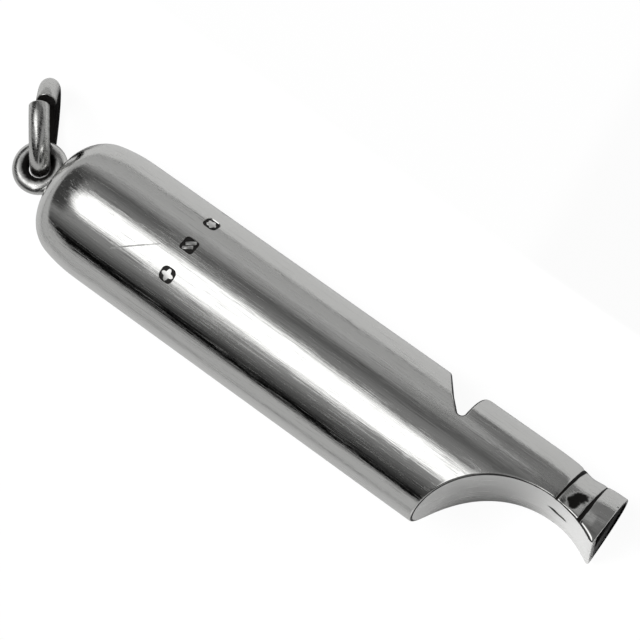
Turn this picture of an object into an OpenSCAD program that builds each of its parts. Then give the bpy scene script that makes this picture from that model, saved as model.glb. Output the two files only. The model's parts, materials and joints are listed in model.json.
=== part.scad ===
// Straight silver whistle with a domed end, a half-moon mouth over a hollowed sole,
// a soldered eye and a loose jump ring. It is drawn as it is blown, with X along the barrel
// from the domed end to the mouth and Z up through the window, and is then laid on its side.

/* [Body] */
// Length from the crown of the domed end to the mouth
body_len = 65.3; // [60:0.1:75]
// Outside diameter of the barrel
barrel_d = 14; // [13:0.1:15]
// Thickness of the barrel's metal
wall = 0.7; // [0.55:0.05:0.85]
// Radius that rounds the outer edge of the mouth
mouth_edge_r = 0.25; // [0.1:0.05:0.4]

/* [Domed end] */
// Radius of the shoulder, where the end begins to narrow
shoulder_r = 17; // [14:0.5:22]
// Angle that the shoulder turns through
shoulder_angle = 13; // [8:1:16]
// Radius of the knuckle between shoulder and crown
knuckle_r = 4; // [3.4:0.1:4.6]
// Angle off the barrel's side at which the crown takes over from the knuckle
crown_angle = 67; // [60:1:72]
// Thickness of the domed end's metal
dome_wall = 0.7; // [0.55:0.05:0.85]
// Length of the spigot that is soldered inside the barrel
spigot_len = 1.2; // [0.6:0.1:2]
// Thickness of the spigot
spigot_wall = 0.5; // [0.3:0.05:0.7]

/* [Window] */
// Distance from the mouth to the upright wall of the window
window_from_mouth = 16.75; // [15.5:0.05:18]
// Length of the window along the top of the barrel
window_len = 4.2; // [3.6:0.1:5]
// Depth of the window below the top of the barrel
window_depth = 3.8; // [3.4:0.1:4.4]
// Depth of the steeper part of the ramp, next to the lip
lip_depth = 2.3; // [1.8:0.1:2.5]
// Length of the steeper part along the barrel
lip_run = 2; // [1.6:0.05:2.3]
// Radius at the foot of the upright wall
window_foot_r = 0.45; // [0.35:0.05:0.6]

/* [Mouthpiece] */
// Radius of the hollow under the mouthpiece
sole_r = 10.3; // [9.6:0.1:11]
// Height of the hollow's highest line above the barrel's middle line
sole_rise = 1.9; // [1.4:0.1:2.3]
// Distance from the mouth to the hollow's highest line
sole_top_from_mouth = 5.5; // [4.8:0.1:6.2]
// Thickness of the sole plate
sole_plate_t = 0.7; // [0.5:0.05:0.9]
// Distance from the mouth to the middle of the tooth groove
groove_from_mouth = 3.65; // [3:0.05:4.4]
// Width of the tooth groove
groove_w = 2.75; // [2:0.05:3.2]
// Depth of the tooth groove
groove_depth = 0.33; // [0.2:0.01:0.4]

/* [Windway] */
// Height of the windway under the top of the barrel's bore
windway_h = 1; // [0.7:0.05:1.3]
// Length of the windway block
block_len = 9; // [7:0.1:10]
// Length of the sloping nose that leads the breath up to the windway
block_nose_len = 3; // [2:0.1:4]
// Height that the nose falls
block_nose_drop = 1.4; // [1:0.1:1.8]

/* [Marks] */
// Distance from the crown of the domed end to the row of punched marks
mark_from_end = 17.2; // [14:0.1:22]
// Length of the marks along the barrel
mark_len = 1.5; // [1.2:0.05:1.8]
// Width of the marks round the barrel
mark_w = 1.4; // [1.1:0.05:1.7]
// Depth of the marks
mark_depth = 0.12; // [0.06:0.01:0.18]
// Distance between the marks, round the barrel
mark_pitch = 3.65; // [3:0.05:4.2]
// Angle of the middle mark, from the window towards the side
mark_angle = 79; // [70:1:90]
// Thickness of the raised lines in the marks
mark_line = 0.22; // [0.16:0.01:0.28]

/* [Eye] */
// Diameter of the eye's wire
eye_wire_d = 1.74; // [1.5:0.02:1.9]
// Diameter of the eye's hole
eye_hole_d = 2.3; // [2.3:0.05:2.7]
// Depth to which the eye is let into the domed end
eye_seat = 0.5; // [0.3:0.05:0.6]
// Radius of the solder fillet round the eye's foot
solder_r = 0.75; // [0.5:0.05:0.9]

/* [Jump ring] */
// Diameter of the jump ring's wire
ring_wire_d = 2.1; // [1.7:0.05:2.1]
// Inside diameter of the jump ring
ring_hole_d = 6.3; // [5.9:0.1:7.5]
// Width of the gap between the ring's ends
ring_gap = 0.55; // [0.3:0.05:1]
// Angle round the ring from the point opposite the eye to the middle of the gap
ring_gap_angle = 72; // [50:1:90]
// Angle that the ring is sprung open, sideways
ring_spread = 7; // [3:0.5:9]
// Depth of the crease that the springing left in the wire, inside the eye
ring_crease = 0.02; // [0.01:0.005:0.04]
// Angle that the ring leans over in the eye
ring_lean = 10; // [5:0.5:12]
// Angle between the ring and the barrel's middle line, where it lies
ring_rise = 55; // [40:1:80]

/* [Hidden] */
$fn = 96;

// Distance by which a cut runs past what it cuts
overrun = wall;

barrel_r = barrel_d / 2;
bore_r = barrel_r - wall;

// Centres of the three arcs of the domed end, as [radius, distance along the barrel]
knuckle_centre_r = barrel_r - shoulder_r + (shoulder_r - knuckle_r) * cos(shoulder_angle);
crown_r = knuckle_r + knuckle_centre_r / cos(crown_angle);
knuckle_centre_x = crown_r - (crown_r - knuckle_r) * sin(crown_angle);
dome_len = knuckle_centre_x + (shoulder_r - knuckle_r) * sin(shoulder_angle);
shoulder_centre = [barrel_r - shoulder_r, dome_len];
knuckle_centre = [knuckle_centre_r, knuckle_centre_x];
crown_centre = [0, crown_r];
// Points of one arc, between two angles off the barrel's side, no more than one turn apart
dome_turn = 4.5;
function dome_arc(centre, r, from, to, first) =
    let (steps = ceil((to - from) / dome_turn))
    [for (i = [first : steps])
        let (a = from + (to - from) * i / steps)
        centre + r * [cos(a), -sin(a)]];
// Points from the barrel's side to the crown, drawn in from the outside by the thickness given
function dome_side(inset) = concat(
    dome_arc(shoulder_centre, shoulder_r - inset, 0, shoulder_angle, 0),
    dome_arc(knuckle_centre, knuckle_r - inset, shoulder_angle, crown_angle, 1),
    dome_arc(crown_centre, crown_r - inset, crown_angle, 90, 1));
dome_inside = dome_side(dome_wall);
spigot_r = bore_r - spigot_wall;
spigot_end = dome_len + spigot_len;

// The window, in the barrel's middle plane, as [distance along the barrel, height]
window_wall_x = body_len - window_from_mouth;
window_lip_x = window_wall_x - window_len;
window_foot = [window_wall_x - window_foot_r, barrel_r - window_depth + window_foot_r];
lip_foot = [window_lip_x + lip_run, barrel_r - lip_depth];
ramp = window_foot - lip_foot;
ramp_fall = atan2(-ramp.y, ramp.x) + asin(window_foot_r / norm(ramp));
ramp_foot = window_foot - window_foot_r * [sin(ramp_fall), cos(ramp_fall)];

// The mouthpiece
sole_centre = [body_len - sole_top_from_mouth, sole_rise - sole_r];
groove_x = body_len - groove_from_mouth;
groove_r = (groove_w * groove_w / 4 + groove_depth * groove_depth) / (2 * groove_depth);
windway_z = bore_r - windway_h;

// The marks
mark_step = mark_pitch / barrel_r * 180 / PI;

// The eye
eye_wire_r = eye_wire_d / 2;
eye_r = eye_hole_d / 2 + eye_wire_r;
eye_x = eye_seat - eye_r - eye_wire_r;
solder_neck_r = sqrt(eye_wire_r * eye_wire_r - pow(eye_wire_r - eye_seat, 2));
solder_base_r = solder_neck_r + solder_r;

// The jump ring, whose wire runs through the middle of the eye's hole
ring_wire_r = ring_wire_d / 2;
ring_r = ring_hole_d / 2 + ring_wire_r;
ring_half_gap = ring_gap / ring_r * 90 / PI;
ring_short_end = ring_gap_angle + ring_half_gap;
ring_long_end = ring_gap_angle - ring_half_gap;
// The ring's two arms meet in the eye, half a turn from its far side, at the crease
ring_at_eye = 180;
ring_crease_w = 5 * ring_crease;
ring_crease_angle = ring_crease_w / ring_r * 90 / PI;

// Directions of the ring: away from the eye, through the eye, and square to both
ring_out = [-cos(ring_rise), 0, sin(ring_rise)];
ring_side = [sin(ring_rise), 0, cos(ring_rise)];
ring_through = cos(ring_lean) * [0, -1, 0] + sin(ring_lean) * ring_side;
ring_normal = cross(ring_out, ring_through);
function ring_arm_out(lean) = cos(lean) * ring_out - sin(lean) * ring_normal;
function ring_point(a, lean) =
    [eye_x, 0, 0] + ring_r * (1 + cos(a)) * ring_arm_out(lean) + ring_r * sin(a) * ring_through;
ring_step = 2;
ring_line = concat(
    [for (a = [ring_short_end : ring_step : ring_at_eye]) ring_point(a, ring_spread / 2)],
    [for (a = [-ring_at_eye : ring_step : ring_long_end]) ring_point(a, -ring_spread / 2)]);

// The whistle lies on its side and rolls until the jump ring meets the surface too.
// A roll of 0 would have the window level with the barrel's middle line.
function laid_y(p, roll) = p.z * cos(roll) - p.y * sin(roll);
function laid_z(p, roll) = -p.y * cos(roll) - p.z * sin(roll);
function ring_bottom(roll) = min([for (p = ring_line) laid_z(p, roll)]) - ring_wire_r;
function settle(low, high, turns) =
    let (mid = (low + high) / 2)
    turns == 0 ? mid
    : ring_bottom(mid) > -barrel_r ? settle(mid, high, turns - 1)
    : settle(low, mid, turns - 1);
steepest_roll = 80;
settle_turns = 24;
rest_roll = settle(0, steepest_roll, settle_turns);

// The origin is under the middle of the laid whistle, on the surface
ring_end_x = min([for (p = ring_line) p.x]) - ring_wire_r;
ring_far_y = max([for (p = ring_line) laid_y(p, rest_roll)]) + ring_wire_r;
middle_x = (body_len + ring_end_x) / 2;
middle_y = (max(barrel_r, ring_far_y) - barrel_r) / 2;

// Puts a piece that is drawn as blown where it lies at rest
module laid() {
    translate([-middle_x, -middle_y, barrel_r]) rotate([-90 - rest_roll, 0, 0]) children();
}

// Turns a shape drawn round Z to lie along the barrel
module along_barrel() {
    rotate([0, 90, 0]) children();
}

// Extrudes a side view, drawn as [distance along the barrel, height], right across the barrel
module across(width) {
    rotate([90, 0, 0]) linear_extrude(width, center = true) children();
}

// Space that the domed end takes up, filled
module dome_outside() {
    along_barrel() rotate_extrude() polygon(concat([[0, dome_len]], dome_side(0)));
}

// Plain tube with its outer edge rounded at the mouth
module tube() {
    along_barrel() rotate_extrude() difference() {
        translate([bore_r, dome_len]) square([wall, body_len - dome_len]);
        translate([barrel_r - mouth_edge_r, body_len - mouth_edge_r]) difference() {
            square(mouth_edge_r + overrun);
            circle(mouth_edge_r);
        }
    }
}

// Side view of the window: upright towards the mouth, a ramp up to the lip
module window_view() {
    top = barrel_r + overrun;
    polygon([
        [window_lip_x, top],
        [window_lip_x, barrel_r],
        lip_foot,
        ramp_foot,
        window_foot,
        [window_wall_x, window_foot.y],
        [window_wall_x, top]]);
    translate(window_foot) circle(window_foot_r);
}

// Cylinder across the barrel, on the centre of the hollow under the mouthpiece
module sole_round(r) {
    across(barrel_d + 2 * overrun) translate(sole_centre) circle(r);
}

// Ring that cuts the tooth groove
module groove_cut() {
    along_barrel() rotate_extrude()
        translate([barrel_r - groove_depth + groove_r, groove_x]) circle(groove_r);
}

// Skin of the barrel, as deep as the marks
module mark_skin() {
    along_barrel() translate([0, 0, mark_from_end - mark_len]) difference() {
        cylinder(r = barrel_r + overrun, h = 2 * mark_len);
        cylinder(r = barrel_r - mark_depth, h = 2 * mark_len);
    }
}

// Outline of a mark with cut corners, in the plane of the barrel's skin
module mark_outline() {
    corner = mark_line;
    x = mark_len / 2;
    y = mark_w / 2;
    polygon([
        [x, y - corner], [x - corner, y], [corner - x, y], [-x, y - corner],
        [-x, corner - y], [corner - x, -y], [x - corner, -y], [x, corner - y]]);
}

// Plain cross, ring and bars: the raised centres of the three marks
module mark_cross() {
    arm = mark_w / 2;
    square([arm, mark_line], center = true);
    square([mark_line, arm], center = true);
}

module mark_ring() {
    ring_out_r = mark_w / 4;
    difference() {
        circle(ring_out_r);
        circle(ring_out_r - mark_line / 2);
    }
}

module mark_bars() {
    bar_len = mark_w / 2;
    for (side = [-1, 1])
        translate([side * mark_line, 0]) square([mark_line, bar_len], center = true);
}

// One punched mark: its outline is sunk, and its centre stands in it
module mark(number) {
    rotate([mark_angle + (number - 1) * mark_step, 0, 0])
        translate([mark_from_end, 0, bore_r]) linear_extrude(wall + overrun) difference() {
            mark_outline();
            if (number == 0) mark_ring();
            if (number == 1) mark_bars();
            if (number == 2) mark_cross();
        }
}

module marks() {
    intersection() {
        mark_skin();
        union() {
            for (number = [0 : 2]) mark(number);
        }
    }
}

module barrel() {
    color("#c4c4c2") laid() difference() {
        tube();
        across(barrel_d + 2 * overrun) window_view();
        sole_round(sole_r + sole_plate_t);
        groove_cut();
        marks();
    }
}

module end_dome() {
    color("#b4b4b2") laid() along_barrel() rotate_extrude() polygon(concat(
        dome_side(0),
        [for (i = [len(dome_inside) - 1 : -1 : 1]) dome_inside[i]],
        [[spigot_r, dome_len - spigot_wall], [spigot_r, spigot_end]],
        [[bore_r, spigot_end], [bore_r, dome_len]]));
}

module sole_plate() {
    color("#a9a9a8") laid() difference() {
        intersection() {
            along_barrel() cylinder(r = barrel_r, h = body_len);
            sole_round(sole_r + sole_plate_t);
        }
        sole_round(sole_r);
        groove_cut();
    }
}

module windway_block() {
    nose_x = window_wall_x + block_len;
    color("#9c9c9b") laid() difference() {
        intersection() {
            along_barrel() cylinder(r = bore_r, h = body_len);
            across(barrel_d) polygon([
                [window_wall_x, -barrel_r],
                [window_wall_x, windway_z],
                [nose_x - block_nose_len, windway_z],
                [nose_x, windway_z - block_nose_drop],
                [nose_x, -barrel_r]]);
        }
        sole_round(sole_r + sole_plate_t);
    }
}

module eye() {
    color("#bdbdbb") laid() difference() {
        union() {
            translate([eye_x, 0, 0]) rotate([90, 0, 0])
                rotate_extrude() translate([eye_r, 0]) circle(eye_wire_r);
            along_barrel() rotate_extrude() difference() {
                translate([0, -solder_r]) square([solder_base_r, 2 * solder_r]);
                translate([solder_base_r, -solder_r]) circle(solder_r);
            }
        }
        dome_outside();
    }
}

// One arm of the jump ring, from the eye to one side of the gap
module ring_arm(from, to, lean) {
    rotate([0, lean, 0]) translate([ring_r, 0, 0]) rotate([0, 0, from])
        rotate_extrude(angle = to - from) translate([ring_r, 0]) circle(ring_wire_r);
}

module jump_ring() {
    color("#8f8f8e") laid() translate([eye_x, 0, 0])
        rotate([0, 180 + ring_rise, 0]) rotate([180 + ring_lean, 0, 0]) {
            ring_arm(ring_short_end, ring_at_eye - ring_crease_angle, ring_spread / 2);
            ring_arm(ring_crease_angle - ring_at_eye, ring_long_end, -ring_spread / 2);
            rotate([90, 0, 0])
                cylinder(r = ring_wire_r - ring_crease, h = 3 * ring_crease_w, center = true);
        }
}

barrel();
end_dome();
sole_plate();
windway_block();
eye();
jump_ring();
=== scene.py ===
import json
import math

import bmesh
import bpy
import numpy as np
from mathutils import Matrix, Vector
from mathutils.geometry import delaunay_2d_cdt


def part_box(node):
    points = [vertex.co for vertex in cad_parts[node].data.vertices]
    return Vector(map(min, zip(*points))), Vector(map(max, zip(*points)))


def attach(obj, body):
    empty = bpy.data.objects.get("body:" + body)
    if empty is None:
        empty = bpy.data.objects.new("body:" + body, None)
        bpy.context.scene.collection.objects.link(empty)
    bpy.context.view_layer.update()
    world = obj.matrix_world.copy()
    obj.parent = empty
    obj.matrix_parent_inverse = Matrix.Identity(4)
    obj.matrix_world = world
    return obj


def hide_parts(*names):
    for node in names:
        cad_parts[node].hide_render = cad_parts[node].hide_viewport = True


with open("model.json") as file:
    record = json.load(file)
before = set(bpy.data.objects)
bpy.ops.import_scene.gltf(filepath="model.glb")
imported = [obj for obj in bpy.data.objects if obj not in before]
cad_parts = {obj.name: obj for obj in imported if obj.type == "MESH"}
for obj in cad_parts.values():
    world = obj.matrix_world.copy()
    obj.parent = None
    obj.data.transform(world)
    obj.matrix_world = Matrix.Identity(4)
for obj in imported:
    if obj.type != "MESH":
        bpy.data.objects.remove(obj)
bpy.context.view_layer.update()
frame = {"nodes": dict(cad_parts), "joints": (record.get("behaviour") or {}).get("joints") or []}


# THE BARREL
# The whistle's body is a length of sterling silver tube, 14 mm across. A window is filed through
# its top, its underside is cut away at the mouth, and a groove for the teeth is turned round it.
# It has been buffed lengthwise and carried for years, so fine rubbing lines run along it.

BODY_LEN = 65.3
BARREL_R = 7.0
BORE_R = 6.3
RIM_WALL = 0.38  # the tube's end is filed thin inside, so that its rim looks fine
RIM_FLARE = 1.6
SILVER_STEP = math.radians(2)  # spacing of the mesh round the barrel
EDGE_ROWS = 9  # rows of points across a softened edge
NUDGE = 0.01  # a step small enough for slopes and for comparing places

swing = frame["joints"][0]
roll = math.atan2(swing["axis"][1], swing["axis"][2])
crown = Vector((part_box("end_dome")[0].x, swing["pos_m"][1], swing["pos_m"][2]))
DOME_LEN = (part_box("barrel")[0].x - crown.x) * 1000
EYE_X = (swing["pos_m"][0] - crown.x) * 1000

# Pieces are drawn as the whistle is blown, in millimetres: along the barrel from the domed end,
# across it towards the side that lies upwards, and up through the window. This lays them down.
as_laid = Matrix.Translation(crown) @ Matrix((
    (1, 0, 0, 0),
    (0, math.sin(roll), math.cos(roll), 0),
    (0, math.cos(roll), -math.sin(roll), 0),
    (0, 0, 0, 1))) @ Matrix.Scale(0.001, 4)


def unit(v):
    """The same vectors, each scaled to length one."""
    return v / np.maximum(np.linalg.norm(v, axis=-1, keepdims=True), 1e-12)


# The numbers of a piece's materials: its own silver, tarnish and painted shade, and the relief of
# the marks
POLISHED, TARNISH_AND_SHADE, RELIEF = range(3)


def make_piece(name, patches, materials, body, nodes):
    """Makes one object from patches: the points, normals, faces and material's number of each."""
    points = np.concatenate([p[0] for p in patches])
    normals = np.concatenate([p[1] for p in patches])
    faces, numbers, first = [], [], 0
    for place, facing, corners, number in patches:
        faces += [[first + i for i in f] for f in corners]
        numbers += [number] * len(corners)
        first += len(place)
    mesh = bpy.data.meshes.new(name)
    mesh.from_pydata(points.tolist(), [], faces)
    # Each face is turned to look the way that its corners' normals do.
    outward = [sum((Vector(normals[i]) for i in f), Vector()) for f in faces]
    shape = bmesh.new()
    shape.from_mesh(mesh)
    shape.faces.ensure_lookup_table()
    for face, way, number in zip(shape.faces, outward, numbers):
        face.normal_update()
        if face.normal.dot(way) < 0:
            face.normal_flip()
        face.smooth = True
        face.material_index = number
    shape.to_mesh(mesh)
    shape.free()
    mesh.transform(as_laid)
    mesh.flip_normals()  # along, across and up are left-handed, so laying down turns faces over
    turn = np.array(as_laid.to_3x3()) * 1000
    mesh.normals_split_custom_set_from_vertices((normals @ turn.T).tolist())
    for m in materials:
        mesh.materials.append(m)
    made = bpy.data.objects.new(name, mesh)
    bpy.context.scene.collection.objects.link(made)
    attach(made, body)
    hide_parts(*nodes)
    return made


def strip(rows, normals, closed=False, number=POLISHED):
    """A patch that joins rows of points, each row of the same length, one after the other."""
    rows, normals = np.array(rows, float), np.array(normals, float)
    count, length = rows.shape[:2]
    corners = []
    for i in range(count - 1 + closed):
        for j in range(length - 1):
            a, b = i * length, (i + 1) % count * length
            corners.append([a + j, a + j + 1, b + j + 1, b + j])
    return rows.reshape(-1, 3), normals.reshape(-1, 3), corners, number


def inside(points, loop):
    """Which of the flat points lie inside the closed loop."""
    found = np.zeros(len(points), bool)
    x, y = points[:, 0], points[:, 1]
    for (x1, y1), (x2, y2) in zip(loop, np.roll(loop, -1, axis=0)):
        if y1 != y2:
            crosses = (y1 > y) != (y2 > y)
            found ^= crosses & (x < (x2 - x1) * (y - y1) / (y2 - y1) + x1)
    return found


def fill(outline, holes, grid, gap):
    """Triangles that fill a flat outline round its holes. The grid's points keep a gap off."""
    loops = [outline] + holes
    near = np.concatenate(loops)
    grid = grid[inside(grid, outline)]
    for hole in holes:
        grid = grid[~inside(grid, hole)]
    far = [np.min(np.sum((near - g) ** 2, axis=1)) > gap ** 2 for g in grid]
    grid = grid[np.array(far, bool)]
    points, edges = [], []
    for loop in loops:
        first, count = len(points), len(loop)
        points += list(loop)
        edges += [(first + i, first + (i + 1) % count) for i in range(count)]
    points += list(grid)
    made = delaunay_2d_cdt([Vector(p) for p in points], edges, [], 0, 1e-6)
    flat = np.array([tuple(p) for p in made[0]])
    faces = np.array([tuple(f) for f in made[2]])
    middles = flat[faces].mean(axis=1)
    keep = inside(middles, outline)
    for hole in holes:
        keep &= ~inside(middles, hole)
    return flat, faces[keep]


# The tooth groove is worn: distances from the mouth, and the depth under the tube's skin there.
WEAR_AT = (0.0, 1.25, 2.3, 2.9, 3.35, 3.85, 4.4, 4.92, 5.3, 5.8, 6.6, 7.8)
WEAR = (0.17, 0.2, 0.3, 0.35, 0.43, 0.45, 0.36, 0.22, 0.13, 0.075, 0.035, 0.0)
WEAR_SOFT = 0.3
WEAR_SAMPLES = 9
# Two lines were turned at its shoulders: distance along at the level of the barrel's middle, how
# much that grows with height, and half the width of the tarnish low on the side and high on it
TURNED_LINES = ((60.05, 0.075, 0.14, 0.2), (62.98, 0.02, 0.23, 0.07))
LINE_DEPTH = 0.07
LINE_HALF = 0.16
LINE_HEIGHT = 3.0  # the line is turned where its tarnish lies at this height


def turned_radius(x):
    """Radius of the turned skin at a distance along the barrel."""
    depth = sum(np.interp(BODY_LEN - x + off, WEAR_AT, WEAR)
                for off in np.linspace(-WEAR_SOFT, WEAR_SOFT, WEAR_SAMPLES)) / WEAR_SAMPLES
    for line, tilt, _, _ in TURNED_LINES:
        off = x - line - LINE_HEIGHT * tilt
        depth = depth + LINE_DEPTH * np.exp(-(off / LINE_HALF) ** 2)
    return BARREL_R - depth


def on_skin(x, arc):
    """Place and normal on the barrel's skin. The arc round it starts on the window's side."""
    x, a = np.asarray(x, float), np.asarray(arc, float) / BARREL_R
    r = turned_radius(x)
    slope = (turned_radius(x + NUDGE) - turned_radius(x - NUDGE)) / (2 * NUDGE)
    place = np.stack([x, r * np.sin(a), r * np.cos(a)], -1)
    return place, unit(np.stack([-slope, np.sin(a), np.cos(a)], -1))


def bore_radius(x):
    """Radius of the bore, which opens out a little at the mouth."""
    share = np.clip((np.asarray(x, float) - BODY_LEN + RIM_FLARE) / RIM_FLARE, 0, 1)
    return BORE_R + (turned_radius(BODY_LEN) - RIM_WALL - BORE_R) * share ** 2


def rounded_edge(edge, skin_normal, wall_normal, size, closed):
    """Softens an edge between the skin and a cut wall. Gives its rows of points and normals, and
    where it meets the skin and the wall."""
    if closed:
        along = np.roll(edge, -1, axis=0) - np.roll(edge, 1, axis=0)
    else:
        along = np.gradient(edge, axis=0)
    along = unit(along)
    over = unit(np.cross(skin_normal, along))
    over *= -np.sign(np.sum(over * wall_normal, axis=1, keepdims=True))
    down = unit(np.cross(wall_normal, along))
    down *= -np.sign(np.sum(down * skin_normal, axis=1, keepdims=True))
    size = np.broadcast_to(size, len(edge))[:, None]
    start, end = edge + size * over, edge + size * down
    rows, normals = [], []
    for t in np.linspace(0, 1, EDGE_ROWS):
        rows.append((1 - t) ** 2 * start + 2 * t * (1 - t) * edge + t ** 2 * end)
        normals.append(unit((1 - t) * skin_normal + t * wall_normal))
    return np.stack(rows, 1), np.stack(normals, 1), start, end


# The window's side view, as distance along the barrel, height, and the way its wall faces
WINDOW_X = BODY_LEN - 16.75
WINDOW_LEN = 4.2
WINDOW_DEPTH = 3.8
LIP_DEPTH = 2.3
LIP_RUN = 2.0
FOOT_R = 0.45
WINDOW_EDGE = 0.26
WORN_TOP = 0.75  # how far the top of the upright wall is worn round
WORN_FROM = 4.8  # the height at which that starts

lip = np.array([WINDOW_X - WINDOW_LEN, BARREL_R])
lip_foot = lip + [LIP_RUN, -LIP_DEPTH]
foot = np.array([WINDOW_X - FOOT_R, BARREL_R - WINDOW_DEPTH + FOOT_R])
ramp = foot - lip_foot
fall = math.atan2(-ramp[1], ramp[0]) + math.asin(FOOT_R / np.linalg.norm(ramp))
ramp_foot = foot - FOOT_R * np.array([math.sin(fall), math.cos(fall)])

window_view, window_facing = [], []
for a in np.linspace(0, math.acos(lip_foot[1] / BARREL_R), 30):
    height = BARREL_R * math.cos(a)
    window_view.append([lip[0] + LIP_RUN * (BARREL_R - height) / LIP_DEPTH, height])
    window_facing.append([LIP_DEPTH, LIP_RUN])
for t in np.linspace(0, 1, 16)[1:]:
    window_view.append(lip_foot + t * (ramp_foot - lip_foot))
    window_facing.append([math.sin(fall), math.cos(fall)])
for a in np.linspace(math.pi / 2 + fall, 0, 20)[1:]:
    # from the foot of the ramp round to the upright wall
    window_view.append(foot + FOOT_R * np.array([math.cos(-a), math.sin(-a)]))
    window_facing.append([-math.cos(-a), -math.sin(-a)])
for a in np.linspace(math.acos(foot[1] / BARREL_R), 0, 36)[1:]:
    window_view.append([WINDOW_X, BARREL_R * math.cos(a)])
    window_facing.append([-1, 0])
window_view = np.array(window_view)
window_facing = unit(np.array(window_facing, float))

window_arc = BARREL_R * np.arccos(np.clip(window_view[:, 1] / BARREL_R, -1, 1))
loop_x = np.concatenate([window_view[:, 0], window_view[-2:0:-1, 0]])
loop_arc = np.concatenate([window_arc, -window_arc[-2:0:-1]])
loop_facing = np.concatenate([window_facing, window_facing[-2:0:-1]])
window_edge, window_skin = on_skin(loop_x, loop_arc)
window_wall = np.stack([loop_facing[:, 0], np.zeros(len(loop_x)), loop_facing[:, 1]], -1)
rise = np.clip((window_edge[:, 2] - WORN_FROM) / (BARREL_R - WORN_FROM), 0, 1)
edge_size = WINDOW_EDGE + (WORN_TOP - WINDOW_EDGE) * rise ** 2 * (loop_x > WINDOW_X - NUDGE)
edge_rows, edge_normals, window_start, window_end = rounded_edge(
    window_edge, window_skin, window_wall, edge_size, True)
window_loop = np.stack([
    window_start[:, 0],
    BARREL_R * np.arctan2(window_start[:, 1], window_start[:, 2])], -1)
# The filed walls and most of the softened edge are drawn black: tarnish, as nobody polishes
# them, and a painted dark reflection for the dark line that the cut faces show.
WINDOW_BRIGHT_ROWS = 2  # rows of the edge that stay bright
window_patches = [
    strip(edge_rows[:, :WINDOW_BRIGHT_ROWS + 1], edge_normals[:, :WINDOW_BRIGHT_ROWS + 1], True),
    strip(edge_rows[:, WINDOW_BRIGHT_ROWS:], edge_normals[:, WINDOW_BRIGHT_ROWS:], True, TARNISH_AND_SHADE)]
# The cut wall goes from the softened edge to the bore, or to the middle where it's above the bore.
bore_side = window_end.copy()
bore_side[:, 1] = np.sign(loop_arc) * np.sqrt(np.maximum(BORE_R ** 2 - window_end[:, 2] ** 2, 0))
wall_rows = np.stack([window_end + t * (bore_side - window_end) for t in (0, 0.5, 1)], 1)
window_patches.append(
    strip(wall_rows, np.repeat(window_wall[:, None], 3, 1), True, TARNISH_AND_SHADE))

# The edge of the hollow sole, round the mouth and back. It is worn rounder towards the mouth.
SOLE_R = 10.3
SOLE_RISE = 1.9
SOLE_X = BODY_LEN - 5.5
PLATE_T = 0.7
SOLE_EDGE_AT = (56.0, 59.0, 62.0, 64.0)
SOLE_EDGE = (0.28, 0.28, 0.32, 0.42)
RIM_EDGE = 0.12
CORNER_R = 0.45
SOLE_Z = SOLE_RISE - SOLE_R


def sole_height(x, radius=SOLE_R):
    """Height of the hollow's curve, or of a wider one round the same centre."""
    return SOLE_Z + np.sqrt(np.maximum(radius ** 2 - (x - SOLE_X) ** 2, 0))


first_turn = math.asin((-BARREL_R - SOLE_Z) / SOLE_R)
last_turn = math.pi - math.asin((sole_height(BODY_LEN) - SOLE_Z) / SOLE_R)
turns = first_turn + (last_turn - first_turn) * np.linspace(0, 1, 170) ** 2
sole_x = SOLE_X - SOLE_R * np.cos(turns)
sole_z = SOLE_Z + SOLE_R * np.sin(turns)
sole_arc = BARREL_R * np.arccos(np.clip(sole_z / turned_radius(sole_x), -1, 1))
before_corner = sole_x < BODY_LEN - CORNER_R
side_x, side_arc = sole_x[before_corner], sole_arc[before_corner]
corner_arc = sole_arc[-1]
corner_t = np.linspace(0, 1, 12)[1:-1]
corner_x = (1 - corner_t) ** 2 * side_x[-1] + (1 - (1 - corner_t) ** 2) * BODY_LEN
corner_to = corner_arc - CORNER_R
corner_a = ((1 - corner_t) ** 2 * side_arc[-1] + 2 * corner_t * (1 - corner_t) * corner_arc
            + corner_t ** 2 * corner_to)
rim_arc = np.linspace(corner_to, 0, 40)
half_x = np.concatenate([side_x, corner_x, np.full(len(rim_arc), BODY_LEN)])
half_arc = np.concatenate([side_arc, corner_a, rim_arc])
# How far each point of the edge has turned from the sole's wall to the mouth's flat end
half_turn = np.concatenate([np.zeros(len(side_x)), corner_t, np.ones(len(rim_arc))])
edge_x = np.concatenate([half_x, half_x[-2::-1]])
edge_arc = np.concatenate([half_arc, -half_arc[-2::-1]])
edge_turn = np.concatenate([half_turn, half_turn[-2::-1]])[:, None]
sole_edge, sole_skin = on_skin(edge_x, edge_arc)
to_centre = unit(np.stack([SOLE_X - edge_x, 0 * edge_x, SOLE_Z - sole_edge[:, 2]], -1))
to_mouth = np.tile([1.0, 0, 0], (len(edge_x), 1))
sole_wall = unit((1 - edge_turn) * to_centre + edge_turn * to_mouth)
sizes = np.interp(edge_x, SOLE_EDGE_AT, SOLE_EDGE)
sizes += (RIM_EDGE - sizes) * edge_turn[:, 0]
rim_rows, rim_normals, sole_start, sole_end = rounded_edge(
    sole_edge, sole_skin, sole_wall, sizes, False)
start_arc = BARREL_R * np.arctan2(sole_start[:, 1], sole_start[:, 2])
start_arc[0], start_arc[-1] = math.pi * BARREL_R, -math.pi * BARREL_R
sole_loop = np.stack([sole_start[:, 0], start_arc], -1)

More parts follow.
